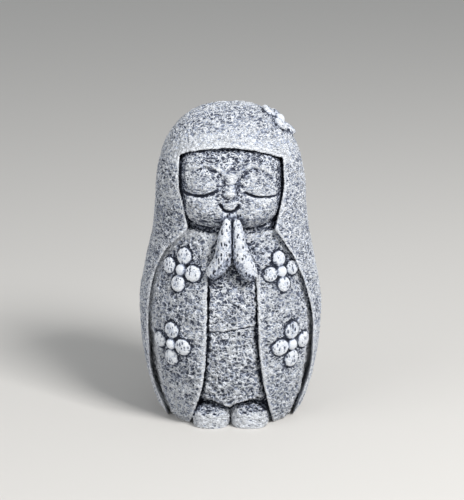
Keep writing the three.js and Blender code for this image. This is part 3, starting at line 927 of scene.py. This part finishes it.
def beside_hands(x, z):
    """How far places of the front view lie outside the hands' outlines."""
    least = np.full(x.shape, np.inf)
    for stations in (LEFT_HAND, RIGHT_HAND):
        away, along = distance_to_line(x, z, [station[:2] for station in stations])
        shares = np.linspace(0, 1, len(stations))
        half_width = np.interp(along, shares, [station[3] for station in stations]) * MM
        least = np.minimum(least, away - half_width)
    return least


def zones(body, places):
    """The name of each corner's finish, from the cloak inwards and then the forms that stand on
    the cloth, each of which takes its corners from what it stands on."""
    sizes = body.sizes
    x, y, z = places.T
    front = y < 0
    depth = y - body.front(x, z, 0)
    opening = polygon_holds(CLOAK_OPENING, x, z) & front
    inner = opening & (depth > sizes.cloak_thickness * 0.45)
    zone = np.where(inner, "robe", "hood").astype("<U6")
    skirt_y = body.front(x, z, sizes.cloak_thickness + sizes.sleeve_step - sizes.overskirt_step)
    margin = 0.8 * MM
    zone[inner & polygon_holds(SKIRT_OPENING, x, z) & (y > skirt_y - margin)] = "skirt"
    x_share = np.abs(x) * 2 / sizes.face_width
    z_share = np.abs(z - sizes.face_level) * 2 / sizes.face_height
    reach = x_share**sizes.face_squareness + z_share**sizes.face_squareness
    zone[opening & (reach < 1.1) & (z > CHEST_TOP) & (depth > -1 * MM)] = "face"
    ahead = body.front(x, z, sizes.cloak_thickness) - y
    beside = beside_hands(x, z)
    zone[front & (beside < 1 * MM) & (ahead > 0.5 * MM) & (z < CHEST_TOP + 10 * MM)] = "hand"
    on_foot = (z < sizes.foot_height) & (np.abs(x) < sizes.foot_width * 1.05)
    zone[front & on_foot & (y < -8 * MM) & polygon_holds(FOOT_HOLLOW, x, z)] = "foot"
    for button, *petals in all_flowers(body):
        for petal in petals:
            zone[pebble_reach(places, petal) < PEBBLE_RIM] = "petal"
        zone[pebble_reach(places, button) < PEBBLE_RIM] = "button"
    return zone


def bent_places(places, seed):
    """Places moved about by two sizes of noise, so that what is laid out on them is uneven."""
    moved = places
    for reach, size, channel in ((0.6, 2.6, 50), (0.2, 0.9, 60)):
        noises = [soft_noise(places, size * MM, seed + channel + i) for i in range(3)]
        moved = moved + reach * MM * np.stack(noises, -1)
    return moved


def stands_out(skin_mesh, places, normals, rounds):
    """How far each corner lies out of the skin smoothed so many times, in millimetres."""
    return np.sum((places - skin_mesh.smoothed(places, rounds)) * normals, axis=1) / MM


def calm(places):
    """Share of the stipple's depth that is left at each corner: less beside the fine lines of
    the face, on the nose and along the edges of the clothing, which the brush doesn't break."""
    x, y, z = places.T
    front = y < 0
    least = np.ones(np.count_nonzero(front))
    for lines, left, full, none in (
        ((*EYE_SLITS, SMILE), 0.1, 0.9, 2),
        ((NOSE,), 0.25, 1.8, 3.4),
        ((*SLEEVE_EDGES, *CLOAK_OPENING, OVERSKIRT[0]), 0.4, 0.6, 2.2),
    ):
        away = distance_to_lines(x[front], z[front], lines)
        least = np.minimum(least, left + (1 - left) * ease(full * MM, none * MM, away))
    shares = np.ones(len(places))
    shares[front] = least
    return shares


def stippled(skin_mesh, body, settings):
    """Presses the stipple into the skin along its outward direction and keeps, for each corner,
    its rank in the height of the stipple, the tone that the brush left on it, with painted
    shade and painted light added in places, and how its finish is marked."""
    seed = settings.seed * 100
    ridge_tone = 0.55
    places = skin_mesh.places
    normals = skin_mesh.normals()
    zone = zones(body, places)
    bent = bent_places(places, seed)
    count = len(places)
    rank = np.zeros(count)
    relief = np.zeros(count)
    tone = np.zeros(count)
    kept = {name: np.zeros(count) for name in ("marked", "upright", "curled", "coarse")}
    for channel, (name, finish) in enumerate(FINISHES.items()):
        chosen = zone == name
        height, ridge = dabbed(bent[chosen], finish, seed + 20 * channel)
        rank[chosen] = ranked(height)
        relief[chosen] = (height - np.mean(height)) * finish.depth * MM
        tone[chosen] = finish.brushed + ridge_tone * finish.curled * (ridge - np.mean(ridge))
        for kind, values in kept.items():
            values[chosen] = getattr(finish, kind)
    relief *= calm(places)
    unevenness = 0.22 * MM
    relief += unevenness * soft_noise(places, 7 * MM, seed + 90)
    # Small forms and then broad ones that stand proud take more of the brush, and hollows turn
    # darker: partly the wash left in them and partly painted shade
    for rounds, full, most, strength in ((10, 0.09, 1, 0.32), (120, 0.7, 0.4, 0.28)):
        proud = stands_out(skin_mesh, places, normals, rounds)
        tone += np.clip(proud / full, -1, most) * strength
    # The brush leaves broad patches and small ones
    for strength, at, size, channel in ((0.1, places, 9, 92), (0.13, bent, 3.2, 94)):
        tone += strength * soft_noise(at, size * MM, seed + channel)
    # Brushing, with a painted highlight, painted light and painted shade laid on in places
    tone += brushing_and_painted_light(body, places)
    underside = ease(0.2 * MM, 1.2 * MM, places[:, 2])
    skin_mesh.places = places + normals * (relief * underside)[:, None]
    skin_mesh.places[:, 2] = np.maximum(skin_mesh.places[:, 2], 0)
    skin_mesh.write()
    skin_mesh.keep("stipple", rank)
    # The brushed attribute holds the brush's tone with painted shade and painted light added in places
    skin_mesh.keep("brushed", tone)
    for kind, values in kept.items():
        skin_mesh.keep(kind, values)


def brushing_and_painted_light(body, places):
    """Tone added to the brush's own, or taken from it. Brushing: more on the edges of the cloak,
    the sleeves and the hem, and on the toes; lighter along the nose. Painted highlight with
    brushing: the band over the brow. Painted light that lifts the shade: in the gaps and hollows
    beside the sleeves. Painted shade: under the hood's edge, under the nose and the chin, beside
    the face, along the skirt's sides, below the hands and the overskirt's hem, on the tops of
    the feet, and round the petals with some dark wash. Dark wash and painted shade: in the slits
    and the smile."""
    x, y, z = places.T
    sizes = body.sizes
    more = np.zeros(len(places))
    front = y < 0
    outside = ~polygon_holds(CLOAK_OPENING, x, z)
    rim = outside & front
    inside = ~outside & front & (z > 100 * MM) & (np.abs(x) < sizes.face_width / 2)
    within = ~outside & front & (z < CHEST_TOP)
    skirt = front & polygon_holds(SKIRT_OPENING, x, z)
    tier = polygon_holds(OVERSKIRT, x, z)
    hood_edge = CLOAK_OPENING[2:3]
    hem = OVERSKIRT[:1]

    # Places, lines, how much more, and between which distances that fades out, in millimetres
    for chosen, lines, strength, full, none in (
        # Brushing and a painted highlight on the band over the brow
        (rim & (z > 125 * MM), hood_edge, 0.4, 1, 12),
        # Painted shadow of the hood's edge on the top of the forehead
        (inside, hood_edge, -0.24, 0.5, 9),
        # Dark wash and painted shade in the eye slits and the smile
        (inside, EYE_SLITS, -0.7, 0.35, 0.9),
        (inside, [SMILE], -0.6, 0.35, 1.1),
        # Painted shadow under the nose's tip
        (inside, [UNDER_NOSE], -0.28, 0.35, 1.4),
        (inside, [NOSE], 0.3, 0.35, 1.9),
        (rim, CLOAK_OPENING, 0.28, 0.3, 1.6),
        # Painted light that lifts the shade in the gaps inside the cloak's edge, more on the left
        (within & (x < 0), CLOAK_OPENING, 0.95, 1, 3),
        (within & (x >= 0), CLOAK_OPENING, 0.35, 1, 3),
        # Painted shade along the skirt's sides, in the grooves beside the sleeves
        (skirt, SLEEVE_EDGES, -0.34, 0.9, 3.6),
        (~skirt, SLEEVE_EDGES, 0.28, 0.4, 1.5),
        (skirt & tier, hem, 0.22, 0.3, 1.2),
        # Painted shadow just below the overskirt's hem
        (skirt & ~tier, hem, -0.55, 0.5, 1.3),
    ):
        away = distance_to_lines(x[chosen], z[chosen], lines)
        more[chosen] += strength * (1 - ease(full * MM, none * MM, away))

    # Painted shade where the face's sides fall back into the hood
    more[inside] -= 0.32 * ease(18.8 * MM, 21.6 * MM, np.abs(x[inside] - FACE_MIDDLE * MM))
    # Painted shadow under the chin
    chin = inside & (z < 107 * MM)
    more[chin] -= 0.42 * (1 - ease(97 * MM, 102 * MM, z[chin]))
    # Painted light that lifts the shade in the hollows beside the sleeves, more higher up
    for outline in (SIDE_HOLLOW_LEFT, SIDE_HOLLOW_RIGHT):
        hollow = within & polygon_holds(outline, x, z)
        more[hollow] += 0.65 * ease(4 * MM, 16 * MM, z[hollow])
    # Painted shadow on the skirt below the hands
    below = beside_hands(x[skirt], z[skirt])
    more[skirt] -= 0.3 * (1 - ease(0.6 * MM, 4.5 * MM, below))
    # Painted shade, with some dark wash, on the cloth round the feet of the petals
    flat = y > body.front(x, z, sizes.cloak_thickness) - 0.5 * MM
    for _, *petals in all_flowers(body):
        for petal in petals:
            more -= 0.3 * flat * (1 - ease(PEBBLE_RIM, 1.5, pebble_reach(places, petal)))
    # Toes brushed lighter, and painted shadow on the tops of the feet under the hem
    feet = front & (z < sizes.foot_height) & polygon_holds(FOOT_HOLLOW, x, z)
    tops = ease(0.5 * sizes.foot_height, 0.75 * sizes.foot_height, z)
    more[feet] += (0.4 - 0.95 * tops)[feet]
    return more


class Shader:
    """Short ways to add nodes to a material or a group."""

    def __init__(self, tree):
        self.nodes = tree.nodes
        self.links = tree.links
        self.principled = tree.nodes.get("Principled BSDF")

    def put(self, value, socket):
        if isinstance(value, bpy.types.NodeSocket):
            self.links.new(value, socket)
        else:
            socket.default_value = value

    def node(self, kind, *values, output=0, **settings):
        """A new node with its settings and first inputs filled. Gives one of its outputs."""
        made = self.nodes.new("ShaderNode" + kind)
        for name, setting in settings.items():
            setattr(made, name, setting)
        for value, socket in zip(values, made.inputs):
            self.put(value, socket)
        return made.outputs[output]

    def math(self, operation, first, second=0.0):
        return self.node("Math", first, second, operation=operation)

    def vector(self, operation, first, second):
        return self.node("VectorMath", first, second, operation=operation)

    def spread(self, value, low, high, start=0.0, end=1.0):
        """A number of one range as a number of another, with the ends eased."""
        return self.node("MapRange", value, low, high, start, end, interpolation_type="SMOOTHSTEP")

    def between(self, part, first, second):
        """The first value, moved by a part of the way to the second."""
        step = self.math("MULTIPLY", self.math("SUBTRACT", second, first), part)
        return self.math("ADD", first, step)

    def noise(self, place, scale, detail, output="Fac"):
        made = self.nodes.new("ShaderNodeTexNoise")
        settings = {"Vector": place, "Scale": scale, "Detail": detail, "Roughness": 0.6}
        for name, value in settings.items():
            self.put(value, made.inputs[name])
        return made.outputs[output]

    def warped(self, place, scale, reach):
        """The place, moved by up to a reach by noise."""
        bent = self.vector("SUBTRACT", self.noise(place, scale, 1.0, "Color"), (0.5, 0.5, 0.5))
        return self.vector("ADD", place, self.vector("MULTIPLY", bent, reach))

    def attribute(self, name):
        return self.node("Attribute", output="Fac", attribute_name=name)

    def group(self, tree, *values):
        return self.node("Group", *values, node_tree=tree)


def effect(name, settings, build):
    """A shader group that turns a place, and the settings named, into one value."""
    tree = bpy.data.node_groups.new(name, "ShaderNodeTree")
    tree.interface.new_socket("Place", in_out="INPUT", socket_type="NodeSocketVector")
    for setting, kind in settings.items():
        tree.interface.new_socket(setting, in_out="INPUT", socket_type="NodeSocket" + kind)
    tree.interface.new_socket("Value", in_out="OUTPUT", socket_type="NodeSocketFloat")
    shader = Shader(tree)
    inside = tree.nodes.new("NodeGroupInput")
    outside = tree.nodes.new("NodeGroupOutput")
    tree.links.new(build(shader, inside.outputs), outside.inputs["Value"])
    return tree


def grain(shader, given):
    """Fine grain of the cast stone: noise, spread to run from 0 to 1."""
    noise = shader.noise(given["Place"], given["Per metre"], 3.0)
    return shader.spread(noise, 0.3, 0.7)


def cells(shader, given, feature):
    """Voronoi cells of a place that is bent by noise and stretched."""
    finer = shader.math("MULTIPLY", given["Per metre"], 1.4)
    reach = shader.math("DIVIDE", 0.5, given["Per metre"])
    bent = shader.warped(given["Place"], finer, reach)
    node = shader.nodes.new("ShaderNodeTexVoronoi")
    node.feature = feature
    shader.put(shader.vector("MULTIPLY", bent, given["Stretch"]), node.inputs["Vector"])
    shader.put(given["Per metre"], node.inputs["Scale"])
    return node.outputs


def marks(shader, given):
    """Small dark marks near the middles of the cells, with a size of its own for each."""
    found = cells(shader, given, "F1")
    chance = shader.node("SeparateXYZ", found["Color"])
    size = shader.spread(chance, 0.0, 1.0, 0.2, 0.48)
    inner = shader.math("MULTIPLY", size, 0.65)
    return shader.spread(found["Distance"], inner, size, 1.0, 0.0)


def rims(shader, given):
    """Light ridges: thin curls where a noise passes through its middle, and parts of the
    borders between cells."""
    found = cells(shader, given, "DISTANCE_TO_EDGE")
    slower = shader.math("MULTIPLY", given["Per metre"], 0.7)
    swell = shader.noise(given["Place"], slower, 1.0)
    breadth = shader.spread(swell, 0.4, 0.62, -0.05, 0.15)
    border = shader.spread(shader.math("SUBTRACT", breadth, found["Distance"]), 0.0, 0.07)
    stretched = shader.vector("MULTIPLY", given["Place"], given["Stretch"])
    finer = shader.noise(stretched, shader.math("MULTIPLY", given["Per metre"], 1.05), 0.6)
    away = shader.math("ABSOLUTE", shader.math("SUBTRACT", finer, 0.5))
    curl = shader.spread(away, 0.015, 0.075, 1.0, 0.0)
    return shader.math("MAXIMUM", border, curl)


def brushed_stone(paint):
    """Cast stone, dark in its pits and brushed off-white on its ridges. A tone adds up the
    brush's reach with painted shade and painted light laid in, the rank in the pressed stipple,
    light rims, dark marks and grain, and a ramp through the paints gives its colour."""
    material = bpy.data.materials.new("brushed cast stone")
    material.use_nodes = True
    shader = Shader(material.node_tree)
    place = shader.node("TexCoord", output="Object")
    grains = effect("cast grain", {"Per metre": "Float"}, grain)
    kinds = {"Per metre": "Float", "Stretch": "Vector"}
    marking = effect("dark marks", kinds, marks)
    ridging = effect("light rims", kinds, rims)
    per_mark = 1 / paint.mark_spacing
    per_cell = 1 / paint.cell_spacing

    def laid(effects, per_metre, stretch):
        return shader.group(effects, place, per_metre, stretch)

    level = (per_mark, (0.6, 0.6, 1.2))
    standing = (per_mark, (1.2, 1.2, 0.6))
    wide = (per_cell, (0.9, 0.9, 1.15))
    fine = shader.group(grains, place, 2600.0)
    coarse = shader.group(grains, place, 900.0)
    upright = shader.attribute("upright")
    netted = shader.attribute("coarse")
    dark = shader.between(upright, laid(marking, *level), laid(marking, *standing))
    dark = shader.between(netted, dark, laid(marking, *wide))
    dark = shader.math("MULTIPLY", dark, shader.attribute("marked"))
    light = shader.between(netted, laid(ridging, *level), laid(ridging, *wide))
    light = shader.math("MULTIPLY", light, shader.attribute("curled"))

    # The brushed attribute carries the brush's tone with painted shade and painted light in places
    tone = shader.attribute("brushed")
    for value, middle, strength in (
        (shader.attribute("stipple"), 0.5, 0.34),
        (light, 0.25, 0.55),
        (dark, 0.12, -0.5),
        (fine, 0.5, 0.26),
        (coarse, 0.5, 0.16),
    ):
        beyond = shader.math("SUBTRACT", value, middle)
        tone = shader.math("ADD", tone, shader.math("MULTIPLY", beyond, strength))
    ramp = shader.nodes.new("ShaderNodeValToRGB")
    stops = (
        (0.0, paint.hollow),
        (0.25, paint.washed),
        (0.48, paint.stone),
        (0.7, paint.brushed),
        (0.92, paint.bright),
    )
    elements = ramp.color_ramp.elements
    elements.remove(elements[1])
    elements[0].color = (*stops[0][1], 1)
    for at, value in stops[1:]:
        elements.new(at).color = (*value, 1)
    shader.put(tone, ramp.inputs["Fac"])
    shader.put(ramp.outputs["Color"], shader.principled.inputs["Base Color"])
    shader.put(shader.spread(tone, 0.2, 0.9, 0.78, 0.92), shader.principled.inputs["Roughness"])
    shader.principled.inputs["Specular IOR Level"].default_value = 0.3
    bump = shader.nodes.new("ShaderNodeBump")
    bump.inputs["Strength"].default_value = 1
    bump.inputs["Distance"].default_value = paint.wrinkle_depth
    raised = shader.math("ADD", light, shader.math("MULTIPLY", fine, 0.3))
    height = shader.math("SUBTRACT", raised, dark)
    shader.put(height, bump.inputs["Height"])
    shader.put(bump.outputs["Normal"], shader.principled.inputs["Normal"])
    return material


def thinned(made, behind, settings):
    """Thins the casting by collapsing edges: first behind, down to its own number of triangles,
    and then in front, so that the side that is seen keeps the finer skin."""
    numbers = np.arange(len(behind))
    for name, chosen in (("behind", behind), ("front", ~behind)):
        group = made.vertex_groups.new(name=name)
        group.add(numbers[chosen].tolist(), 1, "REPLACE")
        thin = made.modifiers.new(name, "DECIMATE")
        thin.vertex_group = name
    made.data.calc_loop_triangles()
    total = len(made.data.loop_triangles)
    share_behind = np.count_nonzero(behind) / len(behind)
    left = total * (1 - share_behind) + settings.triangles_behind
    made.modifiers["behind"].ratio = min(left / total, 1)
    made.modifiers["front"].ratio = min(settings.triangles / left, 1)
    settle(made)
    made.vertex_groups.clear()


class JIZO_OT_cast_figure(bpy.types.Operator):
    """Casts the praying figure in one piece, with its stippled skin and brushed finish"""

    bl_idname = "jizo.cast_figure"
    bl_label = "Cast the figure"

    def execute(self, context):
        scene = context.scene
        body = Body(scene.jizo_figure)
        settings = scene.jizo_surface
        made = one_skin(clothed_figure(body), settings.voxel)
        skin_mesh = Skin(made.data)
        skin_mesh.places = skin_mesh.smoothed(skin_mesh.places, settings.softness)
        skin_mesh.places[:, 2] = np.maximum(skin_mesh.places[:, 2], 0)
        stippled(skin_mesh, body, settings)
        thinned(made, skin_mesh.places[:, 1] > settings.behind, settings)
        made.data.shade_smooth()
        made.name = "jizo_casting"
        made.data.materials.append(brushed_stone(scene.jizo_paint))
        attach(made, "root")
        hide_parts(NODE)
        return {"FINISHED"}


def area_light(name, place, aim, size, watts):
    """A square soft light that looks at a point."""
    light = bpy.data.lights.new(name, "AREA")
    light.size = size
    light.energy = watts
    made = bpy.data.objects.new(name, light)
    made.location = place
    made.rotation_euler = (Vector(aim) - Vector(place)).to_track_quat("-Z", "Y").to_euler()
    bpy.context.scene.collection.objects.link(made)


class JIZO_OT_set_stage(bpy.types.Operator):
    """Lays a plain pale floor and sets the soft lights and the camera"""

    bl_idname = "jizo.set_stage"
    bl_label = "Set the stage"

    def execute(self, context):
        stage = context.scene.jizo_stage
        half = stage.floor_size / 2
        corners = [(-half, -half, 0), (half, -half, 0), (half, half, 0), (-half, half, 0)]
        floor = new_object("floor", corners, [(0, 1, 2, 3)])
        paper = bpy.data.materials.new("pale floor")
        paper.use_nodes = True
        surface = paper.node_tree.nodes["Principled BSDF"].inputs
        surface["Base Color"].default_value = (*stage.floor_colour, 1)
        surface["Roughness"].default_value = 0.95
        floor.data.materials.append(paper)

        aim = (0, 0, stage.light_aim)
        area_light("key", (0.58, -0.66, 0.9), aim, 0.4, stage.key_power)
        area_light("fill", (-0.8, -0.6, 0.4), aim, 0.8, stage.fill_power)
        world = bpy.data.worlds.new("studio")
        world.use_nodes = True
        background = world.node_tree.nodes["Background"]
        background.inputs["Color"].default_value = (0.92, 0.96, 1, 1)
        background.inputs["Strength"].default_value = stage.sky
        context.scene.world = world

        # The photograph's frame: 500 pixels tall, seen with a focal length of 1700 of them
        lens = bpy.data.cameras.new("camera")
        lens.sensor_width = 36
        lens.lens = lens.sensor_width * 1700 / 500
        camera = bpy.data.objects.new("camera", lens)
        context.scene.collection.objects.link(camera)
        aim = Vector((0.75, 0, 79.5)) * MM
        angle = stage.camera_elevation
        back = Vector((0, -math.cos(angle), math.sin(angle)))
        camera.location = aim + back * stage.camera_distance
        camera.rotation_euler = (math.pi / 2 - angle, 0, 0)
        context.scene.camera = camera
        context.scene.view_settings.view_transform = "Standard"
        return {"FINISHED"}


class JIZO_PT_panel(bpy.types.Panel):
    """Lists the figure's operators and settings"""

    bl_idname = "JIZO_PT_panel"
    bl_label = "Cast Stone Jizo"
    bl_space_type = "VIEW_3D"
    bl_region_type = "UI"
    bl_category = "Jizo"

    def draw(self, context):
        for operator in OPERATORS:
            self.layout.operator(operator.bl_idname)
        for name, group in GROUPS.items():
            column = self.layout.column()
            column.label(text=group.__doc__)
            for field in group.__annotations__:
                column.prop(getattr(context.scene, name), field)


GROUPS = {
    "jizo_figure": JizoFigure,
    "jizo_surface": JizoSurface,
    "jizo_paint": JizoPaint,
    "jizo_stage": JizoStage,
}
OPERATORS = (JIZO_OT_cast_figure, JIZO_OT_set_stage)


def register():
    for entry in (*GROUPS.values(), *OPERATORS, JIZO_PT_panel):
        bpy.utils.register_class(entry)
    for name, group in GROUPS.items():
        setattr(bpy.types.Scene, name, PointerProperty(type=group))


def unregister():
    for name in GROUPS:
        delattr(bpy.types.Scene, name)
    for entry in (JIZO_PT_panel, *OPERATORS, *GROUPS.values()):
        bpy.utils.unregister_class(entry)


def main():
    register()
    bpy.ops.jizo.cast_figure()
    bpy.ops.jizo.set_stage()


if __name__ == "__main__":
    main()
